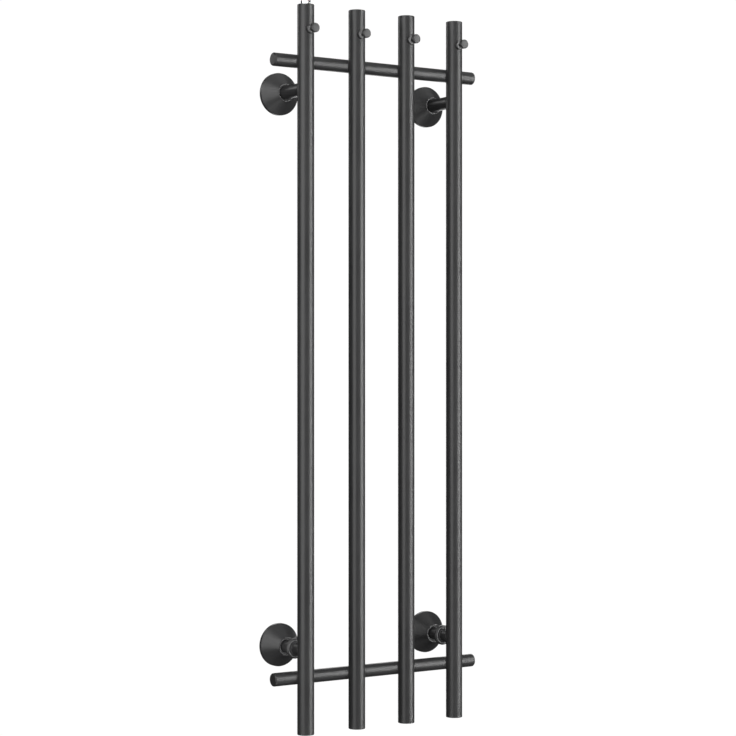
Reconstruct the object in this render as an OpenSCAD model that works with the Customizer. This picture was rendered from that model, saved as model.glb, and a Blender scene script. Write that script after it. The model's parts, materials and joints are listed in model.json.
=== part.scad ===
// Wall-hung, water-heated towel rack: four upright pipes on two crossbars, with a hanging peg
// near the head of each upright. Two telescopic brackets carry it at the top, and two union
// connections join it to the water pipes in the wall at the bottom. Millimetres.
// The wall is the plane Y = 0 and the room lies towards -Y. The origin is on the wall, midway
// between the two brackets, at their height. +X runs to the right along the wall, +Z is up.

/* [Uprights] */
// Length of each upright, end caps included
rack_h = 1200; // [900:50:1600]
// Outside diameter of the upright pipe
tube_d = 28; // [27:0.5:30]
// Wall thickness of the upright pipe
tube_wall = 1.5; // [1.2:0.1:2]
// Distance between the axes of neighbouring uprights
tube_pitch = 100; // [95:1:120]
// Distance from the wall to the axes of the uprights
wall_gap = 90; // [89:1:94]

/* [Crossbars] */
// Outside diameter of a crossbar
bar_d = 22; // [20:0.5:22]
// Wall thickness of a crossbar
bar_wall = 1.5; // [1.2:0.1:2]
// How far a crossbar runs past the axis of an outer upright
bar_overhang = 52; // [40:1:70]
// Distance from an upright's end to the crossbar's axis
bar_inset = 91.5; // [80:0.5:92]
// How deep the crossbar is let into the backs of the uprights
bar_nest = 6; // [3:0.5:6.5]

/* [Wall points] */
// Distance from an upright's end to the axis of a bracket or a water connection
point_inset = 137.5; // [136.5:0.5:160]
// Outside diameter of a bracket arm
arm_d = 22; // [21:0.5:22]
// Rim diameter of the upper rosettes
rosette_d = 71; // [68:0.5:71]
// Rim diameter of the lower rosettes
rosette_low_d = 72.2; // [70:0.1:72.4]
// Height of an upper rosette off the wall
rosette_h = 27.3; // [25:0.1:28]
// Height of a lower rosette off the wall
rosette_low_h = 31.7; // [30:0.1:32]

/* [Water connection] */
// Outside radius of the tail's pipe
tail_r = 10.65; // [10.6:0.05:10.75]
// How far the tail reaches into the wall
tail_depth = 18; // [15:1:22]
// Outside radius of the G 3/4 pipe thread on the nozzle
nozzle_r = 13.22; // [13.15:0.01:13.25]
// Largest outside diameter of the union nut
nut_d = 34; // [33:0.5:35]

/* [Pegs] */
// Distance from an upright's upper end to the peg's axis
peg_drop = 42; // [36:1:44]
// Diameter of the peg's head and of its collar
peg_d = 15.5; // [14:0.5:16]
// Distance from the upright's axis to the front of the peg's head
peg_reach = 32.4; // [31:0.1:38]

/* [Hidden] */

$fn = 96;
eps = 0.01;                              // overlap that keeps a cut from ending on a face
tube_count = 4;
tube_r = tube_d / 2;
bar_r = bar_d / 2;
arm_r = arm_d / 2;
left_x = -(tube_count - 1) / 2 * tube_pitch;
right_x = -left_x;
top_z = point_inset;                     // upper ends of the uprights
bottom_z = top_z - rack_h;               // lower ends of the uprights
water_z = bottom_z + point_inset;        // axis of the water connections
bar_top_z = top_z - bar_inset;
bar_low_z = bottom_z + bar_inset;
bar_len = 2 * (right_x + bar_overhang);
bar_out = wall_gap - tube_r - bar_r + bar_nest;   // crossbar axis, measured out from the wall
peg_z = top_z - peg_drop;

cap_t = 2;                               // end cap of an upright
cap_edge = 0.9;                          // rounding of the end caps
cap_spigot = 4;                          // part of a cap inside its pipe
bar_cap_t = 1.5;
passage_r = 5;                           // water way between an upright and a crossbar

// bracket, measured out from the wall
post_flange_r = 25;
post_flange_t = 4;
post_end = 40;
slide_clearance = 0.08;
arm_wall = 2;
arm_start = 12;
arm_bore_r = arm_r - arm_wall;
post_r = arm_bore_r - slide_clearance;
post_bore_r = 5.6;
screw_hole_r = 2.75;
countersink_depth = 2.8;
grub_r = 2.5;
grub_out = 20;
grub_socket_r = 1.45;
grub_len = 1.5;                          // stays below the round of the arm
grub_socket_depth = 0.9;

// rosettes
sheet_t = 1.2;
rim_h = 6;
lip_r = 14.6;
lip_low_r = 15.3;
neck_depth = 8;                          // inner neck that carries the grip ring
grip_t = 3;
grip_clearance = 0.05;

// water connection, measured out from the wall
nozzle_face = 55.4;
nozzle_thread = 6.4;
nozzle_neck_r = 10.75;
nozzle_bore_r = 8;
gasket_t = 1.6;
gasket_bore_r = 8.5;
tail_flange_r = 11.9;
tail_flange_t = 1.8;
tail_bore_r = 7.5;
tail_thread_r = 10.48;                   // G 1/2 pipe thread, on the part inside the wall
nut_front = 59.7;
nut_len = 10.7;
nut_face_r = 14.75;
nut_back_r = 12.4;
nut_shoulder_t = 2.2;
nut_hole_r = tail_r + 0.3;
nut_clearance = 0.08;
nut_r = nut_d / 2;
nut_chamfer = 2.3;
nut_taper = 5.3;
slip_ring_t = 0.7;

// pegs, measured out from the upright's axis
peg_r = peg_d / 2;
peg_head_t = 6.9;
peg_edge = 1.3;
peg_neck_r = 3.2;
collar_reach = 18.2;
collar_edge = 1;
stud_r = 3;
insert_r = 5;
insert_depth = 7;                        // length of the insert below the pipe's surface
stud_depth = 5.5;

// air vent, measured up from the head of the first upright
vent_seal_t = 1;
vent_thread_r = 6.58;                    // G 1/4 pipe thread
vent_thread_len = 8;
vent_boss_r = 9.5;
vent_hex_r = 8.2;
vent_hex_h = 6;
vent_hex_turn = 16;
vent_bore_r = 2;
bleed_stem_r = 2.5;
bleed_stem_len = 5;
bleed_clearance = 0.06;
bleed_head_r = 4.6;
bleed_head_h = 2.6;
bleed_gap = 1;                           // room for the O-ring under the head
slot_w = 1;
slot_depth = 1;

function tube_x(n) = left_x + (n - 1) * tube_pitch;

// Local +Z runs out from the wall along the axis of a wall point
module from_wall(x, z) {
  translate([x, 0, z]) rotate([90, 0, 0]) children();
}

// Local +Z runs out from the upright's axis towards the room
module from_tube(n, z) {
  from_wall(tube_x(n), z) translate([0, 0, wall_gap]) children();
}

// Pipe or rod standing on z = 0; bore_r = 0 leaves it solid
module pipe(r, bore_r, len) {
  difference() {
    cylinder(r = r, h = len);
    if (bore_r > 0) translate([0, 0, -eps]) cylinder(r = bore_r, h = len + 2 * eps);
  }
}

// Disc standing on z = 0 with its upper edge rounded
module rounded_disc(r, t, edge) {
  rotate_extrude() {
    square([r - edge, t]);
    square([r, t - edge]);
    intersection() {
      translate([r - edge, t - edge]) circle(r = edge, $fn = 32);
      square([r, t]);
    }
  }
}

// The space that one upright takes up, outside diameter
module upright_space(n) {
  translate([tube_x(n), -wall_gap, bottom_z]) cylinder(r = tube_r, h = rack_h);
}

// ---- uprights and crossbars ----

module upright(n) {
  color("#3c3d3f") difference() {
    translate([tube_x(n), -wall_gap, bottom_z + cap_t])
      pipe(tube_r, tube_r - tube_wall, rack_h - 2 * cap_t);
    for (z = [bar_low_z, bar_top_z])
      from_wall(tube_x(n), z) cylinder(r = passage_r, h = wall_gap);
    if (n == 1 || n == tube_count)
      from_wall(tube_x(n), water_z) cylinder(r = nozzle_bore_r, h = wall_gap);
    from_tube(n, peg_z) cylinder(r = insert_r, h = 2 * tube_r);
  }
}

module plain_cap() {
  rounded_disc(tube_r, cap_t, cap_edge);
  translate([0, 0, -cap_spigot]) cylinder(r = tube_r - tube_wall, h = cap_spigot + eps);
}

module top_cap(n) {
  color("#3c3d3f") translate([tube_x(n), -wall_gap, top_z - cap_t]) plain_cap();
}

// The first upright's cap carries the threaded boss of the air vent
module top_cap_vent() {
  color("#3c3d3f") translate([tube_x(1), -wall_gap, top_z - cap_t]) difference() {
    union() {
      plain_cap();
      translate([0, 0, -vent_thread_len]) cylinder(r = vent_boss_r, h = vent_thread_len);
    }
    translate([0, 0, -vent_thread_len - eps])
      cylinder(r = vent_thread_r, h = vent_thread_len + cap_t + 2 * eps);
  }
}

module bottom_cap(n) {
  color("#3c3d3f") translate([tube_x(n), -wall_gap, bottom_z + cap_t]) mirror([0, 0, 1]) plain_cap();
}

// Pipe notched to the backs of the uprights, so that each joint is a saddle
module crossbar(z) {
  color("#38393b") difference() {
    translate([-bar_len / 2 + bar_cap_t, -bar_out, z]) rotate([0, 90, 0])
      pipe(bar_r, bar_r - bar_wall, bar_len - 2 * bar_cap_t);
    for (n = [1 : tube_count]) upright_space(n);
  }
}

module crossbar_cap(side, z) {
  color("#38393b") translate([side * (bar_len / 2 - bar_cap_t), -bar_out, z]) rotate([0, side * 90, 0]) {
    rounded_disc(bar_r, bar_cap_t, 0.7);
    translate([0, 0, -cap_spigot]) cylinder(r = bar_r - bar_wall, h = cap_spigot + eps);
  }
}

// ---- pegs ----

// Turned peg: head, neck and threaded stud
module peg(n) {
  color("#404144") from_tube(n, peg_z) {
    translate([0, 0, peg_reach - peg_head_t]) rotate_extrude() {
      square([peg_r - peg_edge, peg_head_t]);
      translate([0, peg_edge]) square([peg_r, peg_head_t - 2 * peg_edge]);
      for (z = [peg_edge, peg_head_t - peg_edge]) intersection() {
        translate([peg_r - peg_edge, z]) circle(r = peg_edge, $fn = 32);
        square([peg_r, peg_head_t]);
      }
    }
    translate([0, 0, tube_r]) cylinder(r = peg_neck_r, h = peg_reach - peg_head_t - tube_r + eps);
    translate([0, 0, tube_r - stud_depth]) cylinder(r = stud_r, h = stud_depth + eps);
  }
}

// Collars that seat the pegs on the round of the uprights
module peg_collars() {
  color("#48494c") for (n = [1 : tube_count]) difference() {
    from_tube(n, peg_z) difference() {
      union() {
        cylinder(r = peg_r, h = collar_reach - collar_edge);
        translate([0, 0, collar_reach - collar_edge - eps])
          cylinder(r1 = peg_r, r2 = peg_r - collar_edge, h = collar_edge + eps);
      }
      translate([0, 0, -eps]) cylinder(r = peg_neck_r, h = collar_reach + 2 * eps);
    }
    upright_space(n);
  }
}

// Blind threaded inserts, welded into the fronts of the uprights
module peg_inserts() {
  color("#b9bcc0") for (n = [1 : tube_count]) intersection() {
    from_tube(n, peg_z) translate([0, 0, tube_r - insert_depth]) difference() {
      cylinder(r = insert_r, h = insert_depth + 1);
      translate([0, 0, insert_depth - stud_depth]) cylinder(r = stud_r, h = stud_depth + 2);
    }
    upright_space(n);
  }
}

// ---- upper brackets ----

// Arm welded to an outer upright; it slides over the wall post
module bracket_arm(n) {
  color("#38393b") difference() {
    from_wall(tube_x(n), 0) difference() {
      translate([0, 0, arm_start]) pipe(arm_r, arm_bore_r, wall_gap - arm_start);
      translate([0, 0, grub_out]) rotate([90, 0, 0]) cylinder(r = grub_r, h = arm_r + 1);
    }
    upright_space(n);
  }
}

// Socket-headed grub screw that locks the arm on its post, from below
module grub_screw(n) {
  color("#8f9194") from_wall(tube_x(n), 0) translate([0, -arm_bore_r, grub_out]) rotate([90, 0, 0])
    difference() {
      cylinder(r = grub_r, h = grub_len);
      translate([0, 0, grub_len - grub_socket_depth]) cylinder(r = grub_socket_r, h = 2, $fn = 6);
    }
}

// Flange and hollow post, fixed to the wall by one countersunk screw
module wall_post(n) {
  color("#a9acb0") from_wall(tube_x(n), 0) difference() {
    union() {
      rounded_disc(post_flange_r, post_flange_t, 0.8);
      cylinder(r = post_r, h = post_end);
    }
    translate([0, 0, post_flange_t]) cylinder(r = post_bore_r, h = post_end);
    translate([0, 0, -eps]) cylinder(r = screw_hole_r, h = post_end);
    translate([0, 0, post_flange_t - countersink_depth])
      cylinder(r1 = screw_hole_r, r2 = post_bore_r, h = countersink_depth + eps);
  }
}

// Spun conical cover with a rolled-in neck
module rosette_shell(rim_r, height, lip) {
  slope = (height - rim_h) / (rim_r - lip);
  under = sheet_t * sqrt(1 + slope * slope);
  inner_r = rim_r - sheet_t;
  rotate_extrude() polygon([
    [rim_r, 0], [rim_r, rim_h], [lip, height], [lip - sheet_t, height],
    [lip - sheet_t, height - neck_depth], [lip, height - neck_depth],
    [lip, height - under], [inner_r, height - under - slope * (inner_r - lip)], [inner_r, 0]
  ]);
}

module rosette_upper(n) {
  color("#3a3b3d") from_wall(tube_x(n), 0) rosette_shell(rosette_d / 2, rosette_h, lip_r);
}

module rosette_lower(n) {
  color("#3a3b3d") from_wall(tube_x(n), water_z)
    rosette_shell(rosette_low_d / 2, rosette_low_h, lip_low_r);
}

// Rubber ring in the neck, which holds a rosette where it is pushed
module grip_ring(n, z, lip, height, inner_r) {
  color("#1c1c1e") from_wall(tube_x(n), z) translate([0, 0, height - neck_depth + 1])
    pipe(lip - sheet_t, inner_r + grip_clearance, grip_t);
}

// ---- lower water connections ----

// Welded stub with the union's outside thread
module nozzle(n) {
  color("#38393b") difference() {
    from_wall(tube_x(n), water_z) translate([0, 0, nozzle_face]) difference() {
      union() {
        cylinder(r = nozzle_r, h = nozzle_thread);
        cylinder(r = nozzle_neck_r, h = wall_gap - nozzle_face);
      }
      translate([0, 0, -eps]) cylinder(r = nozzle_bore_r, h = wall_gap);
    }
    upright_space(n);
  }
}

// Round union nut, tapered towards the wall, with a shoulder that draws the tail up
module union_nut(n) {
  nut_back = nut_front - nut_len;
  color("#333436") from_wall(tube_x(n), water_z) translate([0, 0, nut_back]) difference() {
    rotate_extrude() polygon([
      [0, 0], [nut_back_r, 0], [nut_r, nut_taper], [nut_r, nut_len - nut_chamfer],
      [nut_face_r, nut_len], [0, nut_len]
    ]);
    translate([0, 0, -eps]) cylinder(r = nut_hole_r, h = nut_len);
    translate([0, 0, nut_shoulder_t]) cylinder(r = nozzle_r + nut_clearance, h = nut_len);
  }
}

// Anti-friction washer between the nut's shoulder and the tail's flange
module slip_ring(n) {
  color("#e4e2da") from_wall(tube_x(n), water_z) translate([0, 0, nut_front - nut_len + nut_shoulder_t])
    pipe(tail_flange_r, nut_hole_r, slip_ring_t);
}

module gasket(n) {
  color("#202022") from_wall(tube_x(n), water_z) translate([0, 0, nozzle_face - gasket_t])
    pipe(tail_flange_r, gasket_bore_r, gasket_t);
}

// Flanged tail that screws into the pipe fitting in the wall
module tail(n) {
  flange_start = nozzle_face - gasket_t - tail_flange_t;
  color("#3a3b3d") from_wall(tube_x(n), water_z) difference() {
    union() {
      translate([0, 0, -tail_depth]) cylinder(r = tail_thread_r, h = tail_depth + eps);
      cylinder(r = tail_r, h = flange_start + eps);
      translate([0, 0, flange_start]) cylinder(r = tail_flange_r, h = tail_flange_t);
    }
    translate([0, 0, -tail_depth - eps]) cylinder(r = tail_bore_r, h = 2 * wall_gap);
  }
}

// ---- air vent ----

module on_vent() {
  translate([tube_x(1), -wall_gap, top_z]) children();
}

module vent_body() {
  color("#d9dbde") on_vent() difference() {
    union() {
      translate([0, 0, vent_seal_t]) rotate(vent_hex_turn) cylinder(r = vent_hex_r, h = vent_hex_h, $fn = 6);
      translate([0, 0, -vent_thread_len]) cylinder(r = vent_thread_r, h = vent_thread_len + vent_seal_t + eps);
    }
    translate([0, 0, -vent_thread_len - eps]) cylinder(r = vent_bore_r, h = vent_thread_len + vent_hex_h + 2);
    translate([0, 0, vent_seal_t + vent_hex_h - bleed_stem_len])
      cylinder(r = bleed_stem_r + bleed_clearance, h = bleed_stem_len + 1);
  }
}

module vent_seal() {
  color("#1c1c1e") on_vent() pipe(vent_hex_r - 1.2, vent_thread_r, vent_seal_t);
}

// O-ring under the head of the bleed screw
module bleed_oring() {
  color("#1c1c1e") on_vent() translate([0, 0, vent_seal_t + vent_hex_h + bleed_gap / 2])
    rotate_extrude() translate([bleed_stem_r + bleed_gap / 2 + bleed_clearance, 0])
      circle(r = bleed_gap / 2, $fn = 24);
}

// Slotted screw that opens the vent
module bleed_screw() {
  head_z = vent_seal_t + vent_hex_h + bleed_gap;
  color("#e6e8ea") on_vent() difference() {
    union() {
      translate([0, 0, head_z]) rounded_disc(bleed_head_r, bleed_head_h, 0.5);
      translate([0, 0, head_z - bleed_gap - bleed_stem_len + 0.6])
        cylinder(r = bleed_stem_r, h = bleed_stem_len + bleed_gap);
    }
    translate([-bleed_head_r - 1, -slot_w / 2, head_z + bleed_head_h - slot_depth])
      cube([2 * bleed_head_r + 2, slot_w, slot_depth + 1]);
  }
}

upright(1);  // upright_1
upright(2);  // upright_2
upright(3);  // upright_3
upright(4);  // upright_4
top_cap_vent();  // top_cap_1
top_cap(2);  // top_cap_2
top_cap(3);  // top_cap_3
top_cap(4);  // top_cap_4
bottom_cap(1);  // bottom_cap_1
bottom_cap(2);  // bottom_cap_2
bottom_cap(3);  // bottom_cap_3
bottom_cap(4);  // bottom_cap_4
crossbar(bar_top_z);  // crossbar_upper
crossbar(bar_low_z);  // crossbar_lower
crossbar_cap(-1, bar_top_z);  // crossbar_cap_upper_left
crossbar_cap(1, bar_top_z);  // crossbar_cap_upper_right
crossbar_cap(-1, bar_low_z);  // crossbar_cap_lower_left
crossbar_cap(1, bar_low_z);  // crossbar_cap_lower_right
peg(1);  // peg_1
peg(2);  // peg_2
peg(3);  // peg_3
peg(4);  // peg_4
peg_collars();
peg_inserts();
bracket_arm(1);  // bracket_arm_left
bracket_arm(tube_count);  // bracket_arm_right
grub_screw(1);  // grub_screw_left
grub_screw(tube_count);  // grub_screw_right
wall_post(1);  // wall_post_left
wall_post(tube_count);  // wall_post_right
rosette_upper(1);  // rosette_upper_left
rosette_upper(tube_count);  // rosette_upper_right
rosette_lower(1);  // rosette_lower_left
rosette_lower(tube_count);  // rosette_lower_right
grip_ring(1, 0, lip_r, rosette_h, arm_r);  // grip_ring_upper_left
grip_ring(tube_count, 0, lip_r, rosette_h, arm_r);  // grip_ring_upper_right
grip_ring(1, water_z, lip_low_r, rosette_low_h, tail_r);  // grip_ring_lower_left
grip_ring(tube_count, water_z, lip_low_r, rosette_low_h, tail_r);  // grip_ring_lower_right
nozzle(1);  // nozzle_left
nozzle(tube_count);  // nozzle_right
union_nut(1);  // union_nut_left
union_nut(tube_count);  // union_nut_right
slip_ring(1);  // slip_ring_left
slip_ring(tube_count);  // slip_ring_right
gasket(1);  // gasket_left
gasket(tube_count);  // gasket_right
tail(1);  // tail_left
tail(tube_count);  // tail_right
vent_body();
vent_seal();
bleed_oring();
bleed_screw();
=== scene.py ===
"""Looks of the towel warmer rack.

Satin powder-coated pipes, conical rosettes, turned pegs, union connections and a chromed air vent.
"""

import json
import math

import bmesh
import bpy
from mathutils import Matrix, Vector, noise


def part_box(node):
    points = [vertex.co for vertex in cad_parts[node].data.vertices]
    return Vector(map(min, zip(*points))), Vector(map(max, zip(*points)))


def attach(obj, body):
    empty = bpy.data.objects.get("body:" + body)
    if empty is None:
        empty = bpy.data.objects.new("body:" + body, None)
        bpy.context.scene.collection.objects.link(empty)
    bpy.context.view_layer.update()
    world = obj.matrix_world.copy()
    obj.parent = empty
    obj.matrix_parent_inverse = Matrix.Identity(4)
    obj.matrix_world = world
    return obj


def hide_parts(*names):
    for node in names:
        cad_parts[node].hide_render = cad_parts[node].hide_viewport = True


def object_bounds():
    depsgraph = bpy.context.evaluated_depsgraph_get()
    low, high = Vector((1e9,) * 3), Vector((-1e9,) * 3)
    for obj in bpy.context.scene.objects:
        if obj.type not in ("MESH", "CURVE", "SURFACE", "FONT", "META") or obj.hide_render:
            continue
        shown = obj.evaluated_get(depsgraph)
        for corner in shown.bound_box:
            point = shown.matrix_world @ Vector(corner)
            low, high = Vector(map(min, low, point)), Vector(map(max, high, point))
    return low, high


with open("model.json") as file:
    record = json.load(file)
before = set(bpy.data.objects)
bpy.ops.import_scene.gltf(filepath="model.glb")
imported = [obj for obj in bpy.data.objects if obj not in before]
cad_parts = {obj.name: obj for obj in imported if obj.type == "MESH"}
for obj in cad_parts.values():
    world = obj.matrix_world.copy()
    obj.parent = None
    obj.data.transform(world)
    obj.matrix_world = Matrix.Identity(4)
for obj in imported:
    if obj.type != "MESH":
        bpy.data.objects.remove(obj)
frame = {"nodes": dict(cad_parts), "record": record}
box_at_load = [list(c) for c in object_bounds()]
MM = 0.001
TURN = 2 * math.pi
SIDES = ("left", "right")
BARS = ("upper", "lower")
UPRIGHTS = (1, 2, 3, 4)
OUTER = {"left": 1, "right": 4}  # the uprights that carry the wall points

scene = bpy.context.scene
scene.view_settings.view_transform = "Standard"
scene.view_settings.look = "None"


# ---------------------------------------------------------------- sizes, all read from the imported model


def middle(node):
    """Centre of the node's box."""
    lo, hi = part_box(node)
    return (lo + hi) / 2


def size(node):
    """Width, depth and height of the node's box."""
    lo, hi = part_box(node)
    return hi - lo


tube_r = size("upright_2").x / 2
tube_y = middle("upright_2").y
tube_x = {n: middle(f"upright_{n}").x for n in UPRIGHTS}
bar_r = size("crossbar_upper").z / 2
bar_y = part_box("crossbar_upper")[1].y - bar_r
bar_z = {b: middle(f"crossbar_{b}").z for b in BARS}
bracket_z = middle("bracket_arm_left").z
water_z = middle("nozzle_left").z
peg_z = middle("peg_2").z
wall_x = {s: tube_x[n] for s, n in OUTER.items()}


# ---------------------------------------------------------------- mesh helpers


def rounded(corners, steps=6):
    """Closed outline from (r, h, rounding) corners, with each corner turned into an arc."""
    out = []
    count = len(corners)
    for i, (x, y, rounding) in enumerate(corners):
        p = Vector((x, y))
        if rounding <= 0:
            out.append((x, y))
            continue
        a = Vector(corners[i - 1][:2]) - p
        b = Vector(corners[(i + 1) % count][:2]) - p
        half = a.angle(b) / 2
        reach = min(rounding / math.tan(half), 0.49 * a.length, 0.49 * b.length)
        radius = reach * math.tan(half)
        centre = p + (a.normalized() + b.normalized()).normalized() * (radius / math.sin(half))
        start, end = p + a.normalized() * reach - centre, p + b.normalized() * reach - centre
        sweep = start.angle_signed(end)
        for k in range(steps + 1):
            arm = start.copy()
            arm.rotate(Matrix.Rotation(-sweep * k / steps, 2))
            out.append(tuple(centre + arm))
    return out


def finish_mesh(name, bm, body, slot, replaces=(), sharp=35):
    """Turns a bmesh into a piece that rides on a body, in the slot's material."""
    bmesh.ops.remove_doubles(bm, verts=bm.verts, dist=1e-7)
    bmesh.ops.dissolve_degenerate(bm, dist=1e-8, edges=bm.edges)
    bmesh.ops.recalc_face_normals(bm, faces=bm.faces)
    mesh = bpy.data.meshes.new(name)
    bm.to_mesh(mesh)
    bm.free()
    mesh.polygons.foreach_set("use_smooth", [True] * len(mesh.polygons))
    mesh.set_sharp_from_angle(angle=math.radians(sharp))
    piece = bpy.data.objects.new(name, mesh)
    scene.collection.objects.link(piece)
    normals = piece.modifiers.new("soft_normals", "WEIGHTED_NORMAL")
    normals.keep_sharp = True
    mesh.materials.append(MATERIALS[slot])
    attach(piece, body)
    if replaces:
        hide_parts(*replaces)
    return piece


def revolve(bm, outline, place, segments=96, seat=None):
    """Adds the closed (r, h) outline turned round local Z. seat=(h, fn) moves points at h to fn(x, y)."""
    rings = []
    for r, h in outline:
        ring = []
        for k in range(1 if r < 1e-9 else segments):
            a = TURN * k / segments
            x, y, z = r * math.cos(a), r * math.sin(a), h
            if seat and abs(h - seat[0]) < 1e-9:
                z = seat[1](x, y)
            ring.append(bm.verts.new(place @ Vector((x, y, z))))
        rings.append(ring)
    for i, a in enumerate(rings):
        b = rings[(i + 1) % len(rings)]
        for k in range(segments):
            corners = [a[k % len(a)], a[(k + 1) % len(a)], b[(k + 1) % len(b)], b[k % len(b)]]
            unique = list(dict.fromkeys(corners))
            if len(unique) > 2:
                bm.faces.new(unique)


def sweep(bm, path, reach, centre=None):
    """Adds a round bead along the closed path. reach(0..1) gives its radius on the way round."""
    count = len(path)
    ring = 14
    if centre is None:
        centre = sum(path, Vector()) / count
    rings = []
    for i, p in enumerate(path):
        ahead, behind = path[(i + 1) % count], path[i - 1]
        along = (ahead - behind).normalized()
        side = p - centre
        side = (side - along * side.dot(along)).normalized()
        up = along.cross(side)
        r = reach(i / count)
        rings.append([
            bm.verts.new(p + (side * math.cos(TURN * k / ring) + up * math.sin(TURN * k / ring)) * r)
            for k in range(ring)
        ])
    for i, a in enumerate(rings):
        b = rings[(i + 1) % count]
        for k in range(ring):
            bm.faces.new((a[k], a[(k + 1) % ring], b[(k + 1) % ring], b[k]))


def weld_ripple(base, scales, seed):
    """Radius of a hand-laid weld bead: small overlapping scales, a little uneven."""

    def reach(t):
        scale = abs(math.sin(math.pi * scales * t))
        uneven = noise.noise(Vector((math.cos(TURN * t) * 2, math.sin(TURN * t) * 2, seed)))
        return base * (0.90 + 0.10 * scale + 0.08 * uneven)

    return reach


def out_from_wall(x, z):
    """Local +Z runs out from the wall along -Y, local X stays world X."""
    return Matrix.Translation((x, 0, z)) @ Matrix.Rotation(math.radians(90), 4, "X")


def upwards(x, y, z):
    """Local axes stay world axes."""
    return Matrix.Translation((x, y, z))


# ---------------------------------------------------------------- materials


class Nodes:
    """Small helper that wires one material's nodes."""

    def __init__(self, name):
        self.material = bpy.data.materials.new(name)
        self.material.use_nodes = True
        self.tree = self.material.node_tree
        self.tree.nodes.clear()
        self.out = self.tree.nodes.new("ShaderNodeOutputMaterial")
        self.shader = self.tree.nodes.new("ShaderNodeBsdfPrincipled")
        self.link(self.shader.outputs["BSDF"], self.out.inputs["Surface"])
        self.where = self.tree.nodes.new("ShaderNodeTexCoord").outputs["Object"]

    def link(self, a, b):
        self.tree.links.new(a, b)

    def noise(self, scale, detail=3.0, roughness=0.5, stretch=None):
        """Noise on object coordinates, with stretch as a scale per axis."""
        node = self.tree.nodes.new("ShaderNodeTexNoise")
        node.inputs["Scale"].default_value = scale
        node.inputs["Detail"].default_value = detail
        node.inputs["Roughness"].default_value = roughness
        where = self.where
        if stretch:
            mapping = self.tree.nodes.new("ShaderNodeMapping")
            mapping.inputs["Scale"].default_value = stretch
            self.link(where, mapping.inputs["Vector"])
            where = mapping.outputs["Vector"]
        self.link(where, node.inputs["Vector"])
        return node.outputs["Fac"]

    def span(self, value, low, high, from_low=0.3, from_high=0.7):
        """Maps value from from_low..from_high to low..high."""
        node = self.tree.nodes.new("ShaderNodeMapRange")
        node.inputs["From Min"].default_value = from_low
        node.inputs["From Max"].default_value = from_high
        node.inputs["To Min"].default_value = low
        node.inputs["To Max"].default_value = high
        self.link(value, node.inputs["Value"])
        return node.outputs["Result"]

    def blend(self, factor, a, b):
        """Colour between a and b; each is a colour or an output."""
        node = self.tree.nodes.new("ShaderNodeMix")
        node.data_type = "RGBA"
        self.link(factor, node.inputs["Factor"])
        for socket, value in ((node.inputs[6], a), (node.inputs[7], b)):
            if isinstance(value, tuple):
                socket.default_value = (*value, 1)
            else:
                self.link(value, socket)
        return node.outputs[2]

    def product(self, a, b):
        """a times b."""
        node = self.tree.nodes.new("ShaderNodeMath")
        node.operation = "MULTIPLY"
        self.link(a, node.inputs[0])
        self.link(b, node.inputs[1])
        return node.outputs[0]

    def bump(self, layers):
        """layers = [(height output, strength, depth in metres)], stacked."""
        normal = None
        for height, strength, depth in layers:
            node = self.tree.nodes.new("ShaderNodeBump")
            node.inputs["Strength"].default_value = strength
            node.inputs["Distance"].default_value = depth
            self.link(height, node.inputs["Height"])
            if normal:
                self.link(normal, node.inputs["Normal"])
            normal = node.outputs["Normal"]
        self.link(normal, self.shader.inputs["Normal"])

    def edge_highlight_and_wear(self, radius):
        """Mask for painted edge highlight and light wear: 0 on the open surface, up to 1 on convex edges.
        """
        bevel = self.tree.nodes.new("ShaderNodeBevel")
        bevel.samples = 4
        bevel.inputs["Radius"].default_value = radius
        geometry = self.tree.nodes.new("ShaderNodeNewGeometry")
        dot = self.tree.nodes.new("ShaderNodeVectorMath")
        dot.operation = "DOT_PRODUCT"
        self.link(bevel.outputs["Normal"], dot.inputs[0])
        self.link(geometry.outputs["Normal"], dot.inputs[1])
        return self.span(dot.outputs["Value"], 1.0, 0.0, 0.90, 0.995)


def powder_coat(name, colour, rough, grain=1.0, edge_highlight_width=0.0):
    """Satin powder coat: orange peel in two sizes and roughness that wanders.

    The last argument is the width of the convex edges that are lightened as a painted edge highlight, in
    patches like light wear.
    """
    n = Nodes(name)
    cloud = n.noise(14, 4)
    patch = n.noise(230, 2)
    fine = n.noise(2600, 2, 0.55)
    peel = n.noise(620, 2, 0.45)
    light = tuple(c * 1.16 for c in colour)
    dark = tuple(c * 0.88 for c in colour)
    base = n.blend(n.span(cloud, 0, 1), dark, light)
    # painted edge highlight: convex edges lightened 2.6 times, in patches like light wear
    if edge_highlight_width:
        edge_highlight_and_wear_colour = tuple(c * 2.6 for c in colour)
        base = n.blend(n.product(n.edge_highlight_and_wear(edge_highlight_width), n.span(patch, 0.2, 1)), base, edge_highlight_and_wear_colour)
    n.link(base, n.shader.inputs["Base Color"])
    rough_map = n.tree.nodes.new("ShaderNodeMath")
    rough_map.operation = "ADD"
    n.link(n.span(cloud, rough - 0.03, rough + 0.03), rough_map.inputs[0])
    n.link(n.span(patch, -0.025, 0.025), rough_map.inputs[1])
    n.link(rough_map.outputs[0], n.shader.inputs["Roughness"])
    n.shader.inputs["Specular IOR Level"].default_value = 0.5
    n.bump([(peel, 0.20 * grain, 0.00004), (fine, 0.35 * grain, 0.00002)])
    return n.material


def moulded(name, colour, rough):
    """Rubber or plastic: faint mottling and a fine grain."""
    n = Nodes(name)
    cloud = n.noise(90, 3)
    n.link(n.blend(n.span(cloud, 0, 1), tuple(c * 0.9 for c in colour), tuple(c * 1.1 for c in colour)),
           n.shader.inputs["Base Color"])
    n.link(n.span(n.noise(400, 2), rough - 0.05, rough + 0.05), n.shader.inputs["Roughness"])
    n.bump([(n.noise(1800, 3), 0.3, 0.00004)])
    return n.material


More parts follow.
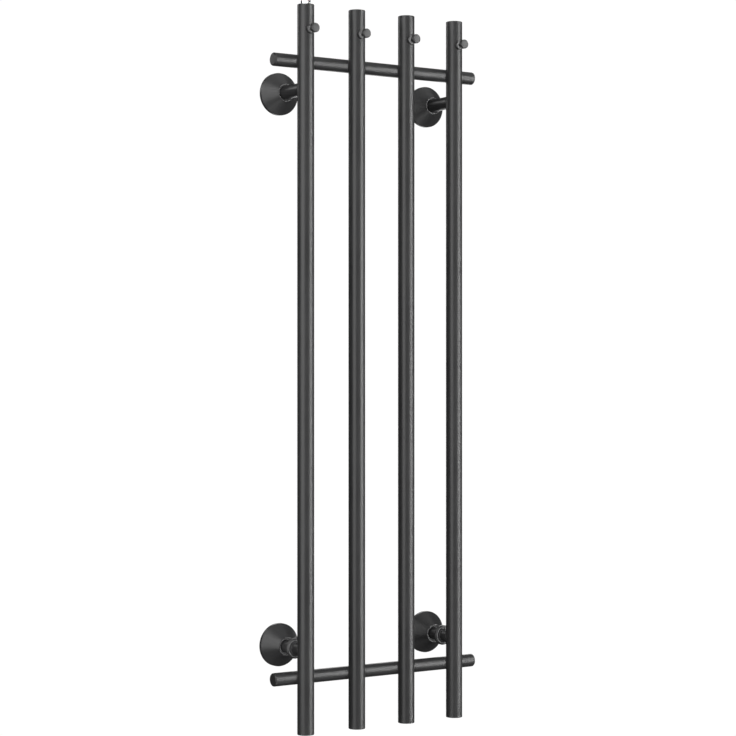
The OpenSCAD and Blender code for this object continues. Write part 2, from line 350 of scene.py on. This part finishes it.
def bare_metal(name, colour, rough, stretch, lines):
    """Plated or turned metal: lines along the turning direction and a slightly uneven shine."""
    n = Nodes(name)
    brushed = n.noise(lines, 2, 0.6, stretch)
    n.link(n.blend(n.span(n.noise(60, 3), 0, 1), tuple(c * 0.94 for c in colour), colour),
           n.shader.inputs["Base Color"])
    n.shader.inputs["Metallic"].default_value = 1.0
    n.link(n.span(brushed, rough * 0.8, rough * 1.3), n.shader.inputs["Roughness"])
    n.bump([(brushed, 0.15, 0.00003)])
    return n.material


MATERIALS = {
    "frame_black": powder_coat("frame_powder_coat", (0.022, 0.022, 0.0225), 0.38),
    # the 0.5 mm on pegs, rosettes and fittings is the width of their painted edge highlight
    "peg_black": powder_coat("peg_powder_coat", (0.023, 0.023, 0.0235), 0.38, 0.8, 0.5 * MM),
    "rosette_black": powder_coat("rosette_powder_coat", (0.021, 0.021, 0.0215), 0.40, 1.0, 0.5 * MM),
    "fitting_black": powder_coat("fitting_powder_coat", (0.032, 0.032, 0.0325), 0.44, 0.8, 0.5 * MM),
    "rubber_black": moulded("black_rubber", (0.016, 0.016, 0.017), 0.68),
    "slip_plastic": moulded("slip_ring_plastic", (0.26, 0.25, 0.23), 0.45),
    "zinc_steel": bare_metal("zinc_plated_steel", (0.150, 0.155, 0.165), 0.44, (1, 0.05, 1), 500),
    "insert_steel": bare_metal("stainless_insert", (0.58, 0.57, 0.55), 0.36, (1, 0.05, 1), 500),
    "vent_chrome": bare_metal("polished_chrome", (0.90, 0.91, 0.92), 0.09, (1, 1, 0.1), 300),
}
NODE_SLOT = {row["node"]: row["material_slot"] for row in frame["record"]["subparts"]}
for name, node in frame["nodes"].items():
    node.data.materials.clear()
    node.data.materials.append(MATERIALS[NODE_SLOT[name]])


# ---------------------------------------------------------------- rosettes and their grip rings

SHEET = 1.2 * MM
RIM = 6 * MM  # straight band that stands on the wall
NECK = 8 * MM
LIP_ROLL = 0.35 * MM  # how far the lip stands out from the cone
LIP_BAND = 0.9 * MM
TAIL_PIPE_R = 10.65 * MM
RING_CLEARANCE = 0.06 * MM


def rosette(name, ring, place):
    """Spun conical cover with a straight rim, a rolled lip and an inner neck that holds the grip ring."""
    rim_r = size(name).x / 2
    height = size(name).y
    lip = size(ring).x / 2 + SHEET
    slope = (height - RIM) / (rim_r - lip)
    under = SHEET * math.sqrt(1 + slope * slope)
    inner_r = rim_r - SHEET
    bm = bmesh.new()
    revolve(bm, rounded([
        (rim_r, 0, 0.35 * MM),
        (rim_r, RIM, 0.5 * MM),
        (lip + LIP_ROLL, height - LIP_BAND, 0.2 * MM),
        (lip + LIP_ROLL, height, 0.45 * MM),
        (lip - SHEET, height, 0.35 * MM),
        (lip - SHEET, height - NECK, 0.4 * MM),
        (lip, height - NECK, 0.4 * MM),
        (lip, height - under, 0.8 * MM),
        (inner_r, height - under - slope * (inner_r - lip), 0.8 * MM),
        (inner_r, 0, 0.35 * MM),
    ]), place, 160)
    finish_mesh(name + "_cover", bm, name, "rosette_black", [name])


def grip_ring(name, place, body, bore):
    """Rubber ring with two soft lips on its bore."""
    outer = size(name).x / 2
    back, front = -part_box(name)[1].y, -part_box(name)[0].y
    third = (front - back) / 3
    groove = bore + 0.5 * MM
    bm = bmesh.new()
    revolve(bm, rounded([
        (outer, back, 0.3 * MM),
        (outer, front, 0.3 * MM),
        (bore, front, 0.4 * MM),
        (bore, front - third, 0.4 * MM),
        (groove, front - 1.3 * third, 0.1 * MM),
        (groove, back + 1.3 * third, 0.1 * MM),
        (bore, back + third, 0.4 * MM),
        (bore, back, 0.4 * MM),
    ]), place, 96)
    finish_mesh(name + "_rubber", bm, body, "rubber_black", [name])


arm_r = size("bracket_arm_left").x / 2
for side in SIDES:
    x = wall_x[side]
    for level, z in (("upper", bracket_z), ("lower", water_z)):
        cover, ring = f"rosette_{level}_{side}", f"grip_ring_{level}_{side}"
        pipe_r = arm_r if level == "upper" else TAIL_PIPE_R
        rosette(cover, ring, out_from_wall(x, z))
        grip_ring(ring, out_from_wall(x, z), cover, pipe_r + RING_CLEARANCE)


# ---------------------------------------------------------------- crossbars with end caps ground round

CAP_ROUND = 2.4 * MM
for b in BARS:
    caps = [f"crossbar_cap_{b}_{side}" for side in SIDES]
    bm = bmesh.new()
    start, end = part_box(caps[0])[0].x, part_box(caps[1])[1].x
    place = Matrix.Translation((0, bar_y, bar_z[b])) @ Matrix.Rotation(math.radians(90), 4, "Y")
    revolve(bm, rounded([
        (0, start, 0),
        (bar_r, start, CAP_ROUND),
        (bar_r, end, CAP_ROUND),
        (0, end, 0),
    ], 8), place)
    finish_mesh(f"crossbar_{b}_capped", bm, "rack", "frame_black", [f"crossbar_{b}", *caps])


# ---------------------------------------------------------------- pegs

STUD_R = 3 * MM
PEG_NECK_R = 3.2 * MM
PEG_HEAD = 6.9 * MM
PEG_CROWN = 0.35 * MM  # how far the head's face stands out at its middle
COLLAR_REACH = 18.2 * MM
COLLAR_SEAT = 5 * MM  # marks the collar's inner end, which follows the round of the upright


def on_tube(x, y=0):
    """Distance out from an upright's axis to its surface, at x across. It is the same for every y."""
    return math.sqrt(max(tube_r * tube_r - x * x, 0))


for n in UPRIGHTS:
    name = f"peg_{n}"
    place = out_from_wall(tube_x[n], peg_z) @ Matrix.Translation((0, 0, -tube_y))
    head_r = size(name).x / 2
    front = tube_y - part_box(name)[0].y
    back = tube_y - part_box(name)[1].y
    bm = bmesh.new()
    revolve(bm, rounded([
        (0, back, 0),
        (STUD_R, back, 0.3 * MM),
        (STUD_R, tube_r, 0),
        (PEG_NECK_R, tube_r, 0),
        (PEG_NECK_R, front - PEG_HEAD, 0.7 * MM),
        (head_r, front - PEG_HEAD, 1.1 * MM),
        (head_r, front - PEG_CROWN, 1.5 * MM),
        (head_r * 0.55, front - 0.08 * MM, 3 * MM),
        (0, front, 0),
    ], 8), place, 96)
    finish_mesh(name + "_turned", bm, "rack", "peg_black", [name])

bm = bmesh.new()
collar_r = size("peg_2").x / 2
for n in UPRIGHTS:
    place = out_from_wall(tube_x[n], peg_z) @ Matrix.Translation((0, 0, -tube_y))
    revolve(bm, rounded([
        (PEG_NECK_R, COLLAR_SEAT, 0),
        (collar_r, COLLAR_SEAT, 0),
        (collar_r, COLLAR_REACH, 0.9 * MM),
        (PEG_NECK_R, COLLAR_REACH, 0.35 * MM),
    ], 8), place, 96, seat=(COLLAR_SEAT, on_tube))
finish_mesh("peg_collars_turned", bm, "rack", "peg_black", ["peg_collars"])


# ---------------------------------------------------------------- weld beads where two pipes meet

BEAD = 1.15 * MM
BEAD_LIFT = 0.2 * BEAD  # how far a bead's middle stands off the upright
BEAD_REACH = 0.25 * BEAD  # how far it stands off the pipe that meets the upright
SADDLE_BEAD = 0.8 * BEAD
PIPE_SCALES = 34
SADDLE_SCALES = 30
STEPS = 240
NOZZLE_NECK_R = 10.75 * MM


def pipe_weld(bm, n, z, pipe_r, seed):
    """Bead round a pipe that meets the back of an upright square on."""
    ring_r = pipe_r + BEAD_REACH
    path = []
    for k in range(STEPS):
        a = TURN * k / STEPS
        x = ring_r * math.cos(a)
        path.append(Vector((tube_x[n] + x, tube_y + on_tube(x) + BEAD_LIFT, z + ring_r * math.sin(a))))
    sweep(bm, path, weld_ripple(BEAD, PIPE_SCALES, seed), Vector((tube_x[n], tube_y + tube_r, z)))


def saddle_weld(bm, n, z, seed):
    """Bead round the saddle where a crossbar lies in the back of an upright."""
    big, small, gap = tube_r + BEAD_LIFT, bar_r + BEAD_LIFT, bar_y - tube_y
    half = math.sqrt(big * big - (gap - small) ** 2)
    path = []
    for k in range(STEPS):
        a = TURN * k / STEPS
        x = half * math.sin(a)
        y = math.sqrt(big * big - x * x)
        z_off = math.copysign(math.sqrt(max(small * small - (gap - y) ** 2, 0)), math.cos(a))
        path.append(Vector((tube_x[n] + x, tube_y + y, z + z_off)))
    sweep(bm, path, weld_ripple(SADDLE_BEAD, SADDLE_SCALES, seed))


bm = bmesh.new()
seed = 0
for side, n in OUTER.items():
    pipe_weld(bm, n, bracket_z, arm_r, seed)
    pipe_weld(bm, n, water_z, NOZZLE_NECK_R, seed + 1)
    seed += 2
for b in BARS:
    for n in UPRIGHTS:
        saddle_weld(bm, n, bar_z[b], seed)
        seed += 1
finish_mesh("weld_beads", bm, "rack", "frame_black", sharp=80)


# ---------------------------------------------------------------- water connections

PITCH = 1.814 * MM  # of both pipe threads
THREAD_DEPTH = 1.0 * MM
ROOT_SINK = 0.15 * MM  # how far the ridge goes into the root cylinder
RUN_OUT = 0.4  # turns over which the ridge fades at each end
NOZZLE_BORE_R = 8 * MM
NOZZLE_THREAD = 6.4 * MM
WELD_SINK = 0.6 * MM  # how far the nozzle goes into the upright's wall
TAIL_BORE_R = 7.5 * MM
TAIL_THREAD_R = 10.48 * MM
FLANGE = 1.8 * MM
NUT_BACK_R = 12.4 * MM
NUT_TAPER = 5.3 * MM
NUT_CHAMFER = 2.3 * MM
NUT_SHOULDER = 2.2 * MM
THREAD_CLEARANCE = 0.08 * MM
HOLE_CLEARANCE = 0.3 * MM


def thread(bm, place, crest_r, start, end):
    """Closed helical ridge with run-outs, crest on crest_r, sitting on the root cylinder."""
    root_r = crest_r - THREAD_DEPTH - ROOT_SINK
    turns = (end - start) / PITCH
    steps = int(turns * 48)
    rings = []
    for i in range(steps + 1):
        t = i / steps
        a = TURN * turns * t
        fade = min(1, t * turns / RUN_OUT, (1 - t) * turns / RUN_OUT)
        crest = root_r + (crest_r - root_r) * max(fade, 0.06)
        h = start + (end - start) * t
        ring = []
        for r, dh in ((root_r, -0.46), (crest, -0.12), (crest, 0.12), (root_r, 0.46)):
            ring.append(bm.verts.new(place @ Vector((r * math.cos(a), r * math.sin(a), h + dh * PITCH))))
        rings.append(ring)
    for a, b in zip(rings, rings[1:]):
        for k in range(4):
            bm.faces.new((a[k], a[(k + 1) % 4], b[(k + 1) % 4], b[k]))
    bm.faces.new(rings[0])
    bm.faces.new(rings[-1])


for side in SIDES:
    place = out_from_wall(wall_x[side], water_z)

    # nozzle, welded to the upright, with the union's outside thread
    name = f"nozzle_{side}"
    crest = size(name).x / 2
    face = -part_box(name)[1].y
    axis_h = -tube_y
    end_h = axis_h + tube_r
    root = crest - THREAD_DEPTH
    bm = bmesh.new()
    revolve(bm, rounded([
        (NOZZLE_BORE_R, face, 0.4 * MM),
        (root, face, 0.7 * MM),
        (root, face + NOZZLE_THREAD, 0.5 * MM),
        (NOZZLE_NECK_R, face + NOZZLE_THREAD + 0.6 * MM, 0.6 * MM),
        (NOZZLE_NECK_R, end_h, 0),
        (NOZZLE_BORE_R, end_h, 0),
    ]), place, 128, seat=(end_h, lambda x, y: axis_h - on_tube(x, y) + WELD_SINK))
    thread(bm, place, crest, face + 0.75 * PITCH, face + NOZZLE_THREAD - 0.55 * PITCH)
    finish_mesh(name + "_threaded", bm, "rack", "frame_black", [name])

    # tail, with the thread that screws into the wall fitting
    name = f"tail_{side}"
    back, front = -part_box(name)[1].y, -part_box(name)[0].y
    flange_r = size(name).x / 2
    root = TAIL_THREAD_R - THREAD_DEPTH
    bm = bmesh.new()
    revolve(bm, rounded([
        (TAIL_BORE_R, back, 0.4 * MM),
        (root, back, 0.6 * MM),
        (root, -0.8 * MM, 0.3 * MM),
        (TAIL_PIPE_R, 0, 0.3 * MM),
        (TAIL_PIPE_R, front - FLANGE, 0.35 * MM),
        (flange_r, front - FLANGE, 0.3 * MM),
        (flange_r, front, 0.3 * MM),
        (TAIL_BORE_R, front, 0.3 * MM),
    ]), place, 128)
    thread(bm, place, TAIL_THREAD_R, back + 0.75 * PITCH, -1.4 * MM)
    finish_mesh(name + "_threaded", bm, "rack", "fitting_black", [name])

    # union nut: plain waist, tapered back, chamfered front
    name = f"union_nut_{side}"
    nut_r = size(name).x / 2
    back, front = -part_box(name)[1].y, -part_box(name)[0].y
    shoulder = back + NUT_SHOULDER
    bore = crest + THREAD_CLEARANCE
    hole = TAIL_PIPE_R + HOLE_CLEARANCE
    bm = bmesh.new()
    revolve(bm, rounded([
        (hole, back, 0.3 * MM),
        (NUT_BACK_R, back, 0.5 * MM),
        (nut_r, back + NUT_TAPER, 1.0 * MM),
        (nut_r, front - NUT_CHAMFER, 0.35 * MM),
        (nut_r - NUT_CHAMFER, front, 0.35 * MM),
        (bore, front, 0.35 * MM),
        (bore, shoulder, 0.2 * MM),
        (hole, shoulder, 0.3 * MM),
    ]), place, 160)
    finish_mesh(name + "_turned", bm, name, "fitting_black", [name])


# ---------------------------------------------------------------- air vent on the first upright

HEX_R = 8.2 * MM
HEX_TURNED_R = 0.89 * HEX_R  # radius of the face that is left inside the turned corners
HEX_TURN = math.radians(16)
VENT_BORE_R = 2.56 * MM
SEAL_OVERHANG = 0.42 * MM
vent_lo, vent_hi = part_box("vent_body")
seal_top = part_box("vent_seal")[1].z
vent_thread_r = size("vent_seal").x / 2 - SEAL_OVERHANG


def hexagon_nut(bm, place, base, top, bore):
    """Six-sided nut whose upper corners are turned down at 30 degrees."""
    per_side = 12
    rows = [[] for _ in range(6)]
    for k in range(6 * per_side):
        a = TURN * k / (6 * per_side)
        within = a % (TURN / 6) - TURN / 12
        r = HEX_R * math.cos(TURN / 12) / math.cos(within)
        drop = max(0.0, r - HEX_TURNED_R) * math.tan(math.radians(30))
        flat = min(r, HEX_TURNED_R)
        ring = [(bore, base), (r, base), (r, top - drop), (flat, top),
                (bore + 0.5 * MM, top), (bore, top - 0.5 * MM)]
        for row, (reach, h) in zip(rows, ring):
            row.append(bm.verts.new(place @ Vector((reach * math.cos(a), reach * math.sin(a), h))))
    count = len(rows[0])
    for i, a in enumerate(rows):
        b = rows[(i + 1) % len(rows)]
        for k in range(count):
            bm.faces.new((a[k], a[(k + 1) % count], b[(k + 1) % count], b[k]))


place = upwards(tube_x[1], tube_y, 0) @ Matrix.Rotation(HEX_TURN, 4, "Z")
bm = bmesh.new()
hexagon_nut(bm, place, seal_top, vent_hi.z, VENT_BORE_R)
revolve(bm, rounded([
    (VENT_BORE_R * 0.8, vent_lo.z, 0.2 * MM),
    (vent_thread_r, vent_lo.z, 0.6 * MM),
    (vent_thread_r, seal_top + 0.2 * MM, 0),
    (VENT_BORE_R * 0.8, seal_top + 0.2 * MM, 0),
]), place, 64)
finish_mesh("vent_body_hex", bm, "rack", "vent_chrome", ["vent_body"], sharp=22)

SLOT = 1 * MM
STEM_R = 2.5 * MM
BLEED_HEAD = 2.6 * MM
screw_lo, screw_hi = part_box("bleed_screw")
head_r = size("bleed_screw").x / 2
head_base = screw_hi.z - BLEED_HEAD
place = upwards(tube_x[1], tube_y, 0)
bm = bmesh.new()
revolve(bm, rounded([
    (0, screw_lo.z, 0),
    (STEM_R, screw_lo.z, 0.4 * MM),
    (STEM_R, head_base, 0.2 * MM),
    (head_r, head_base, 0.4 * MM),
    (head_r, screw_hi.z - 0.25 * MM, 0.6 * MM),
    (head_r * 0.5, screw_hi.z, 3 * MM),
    (0, screw_hi.z, 0),
]), place, 96)
screw = finish_mesh("bleed_screw_slotted", bm, "bleed_screw", "vent_chrome", ["bleed_screw"])

# the screwdriver slot is cut here and now, so that no modifier is left over
bm = bmesh.new()
bmesh.ops.create_cube(bm, size=1, matrix=Matrix.Translation((tube_x[1], tube_y, screw_hi.z))
                      @ Matrix.Diagonal((4 * head_r, SLOT, 2 * SLOT, 1)))
cutter_mesh = bpy.data.meshes.new("slot_cutter")
bm.to_mesh(cutter_mesh)
bm.free()
cutter = bpy.data.objects.new("slot_cutter", cutter_mesh)
scene.collection.objects.link(cutter)
cut = screw.modifiers.new("slot", "BOOLEAN")
cut.object = cutter
cut.operation = "DIFFERENCE"
screw.modifiers.move(1, 0)  # before the soft normals
bpy.context.view_layer.update()
cut_mesh = bpy.data.meshes.new_from_object(screw.evaluated_get(bpy.context.evaluated_depsgraph_get()))
screw.modifiers.clear()
old = screw.data
screw.data = cut_mesh
cut_mesh.set_sharp_from_angle(angle=math.radians(30))
bpy.data.meshes.remove(old)
bpy.data.objects.remove(cutter)
bpy.data.meshes.remove(cutter_mesh)


# ---------------------------------------------------------------- camera, light, stage

lo, hi = (Vector(c) for c in box_at_load)
heart = (lo + hi) / 2

LENS = 96.24  # mm, on a sensor 36 mm wide
CAMERA_AT = (-1.8358, -2.8531, -0.4600)
CAMERA_TURN = -33.20  # degrees; the photo was taken from the left, with the camera level
camera = bpy.data.objects.new("camera", bpy.data.cameras.new("camera"))
camera.data.lens = LENS
camera.data.sensor_width = 36
camera.data.clip_end = 60
camera.location = CAMERA_AT
camera.rotation_euler = (math.radians(90), 0, math.radians(CAMERA_TURN))
scene.collection.objects.link(camera)
scene.camera = camera


def soft_box(name, bearing, height, distance, width, tall, power, shadow=True):
    """Area light aimed at the rack. bearing 0 is straight in front, positive to the left."""
    a, e = math.radians(bearing), math.radians(height)
    towards = Vector((-math.sin(a) * math.cos(e), -math.cos(a) * math.cos(e), math.sin(e)))
    lamp = bpy.data.lights.new(name, "AREA")
    lamp.shape = "RECTANGLE"
    lamp.size, lamp.size_y = width, tall
    lamp.energy = power
    lamp.use_shadow = shadow
    lamp.cycles.use_multiple_importance_sampling = shadow
    holder = bpy.data.objects.new(name, lamp)
    holder.location = heart + towards * distance
    holder.rotation_euler = towards.to_track_quat("Z", "Y").to_euler()
    scene.collection.objects.link(holder)


# name, bearing and height in degrees, distance, width and tallness in metres, watts
soft_box("light_left", 66, 5, 3.0, 2.1, 3.2, 55)
soft_box("light_side", 92, 4, 3.0, 0.9, 3.0, 17)
soft_box("light_right", -42, 2, 3.0, 2.2, 3.0, 116, shadow=False)
soft_box("light_front", 14, 4, 3.2, 1.6, 3.0, 8)
soft_box("light_above", -50, 76, 2.8, 3.4, 3.0, 22)
soft_box("light_high", 55, 40, 3.0, 2.2, 1.4, 25)
soft_box("light_below", 8, -55, 3.0, 2.6, 1.6, 26)
soft_box("light_behind", 156, 26, 3.0, 1.1, 0.7, 7)
soft_box("light_opposite", 213, 4, 3.0, 1.6, 3.0, 38)

FILL = 0.03
world = bpy.data.worlds.new("studio")
scene.world = world
world.use_nodes = True
world.node_tree.nodes["Background"].inputs["Color"].default_value = (1, 1, 1, 1)
world.node_tree.nodes["Background"].inputs["Strength"].default_value = FILL


STAGE_GLOW = 1.02  # the photo's white ground


def white(name, strength):
    """Plain white that takes no light or shadow."""
    n = Nodes(name)
    n.shader.inputs["Base Color"].default_value = (0, 0, 0, 1)
    n.shader.inputs["Specular IOR Level"].default_value = 0
    n.shader.inputs["Roughness"].default_value = 1
    n.shader.inputs["Emission Color"].default_value = (1, 1, 1, 1)
    n.shader.inputs["Emission Strength"].default_value = strength
    return n.material


def stage_piece(name, bm):
    """Adds a floor or backdrop that only the camera sees."""
    mesh = bpy.data.meshes.new(name)
    bm.to_mesh(mesh)
    bm.free()
    piece = bpy.data.objects.new(name, mesh)
    scene.collection.objects.link(piece)
    mesh.materials.append(white(name + "_white", STAGE_GLOW))
    piece.visible_diffuse = False
    piece.visible_glossy = False
    piece.visible_shadow = False


FLOOR_DROP = 0.38  # the rack hangs on a wall, so the floor lies below it
STAGE_RADIUS = 14
bm = bmesh.new()
bmesh.ops.create_circle(bm, cap_ends=True, segments=96, radius=STAGE_RADIUS,
                        matrix=Matrix.Translation((0, 0, lo.z - FLOOR_DROP)))
stage_piece("floor", bm)
bm = bmesh.new()
bmesh.ops.create_uvsphere(bm, u_segments=48, v_segments=24, radius=STAGE_RADIUS,
                          matrix=Matrix.Translation(heart))
stage_piece("backdrop", bm)
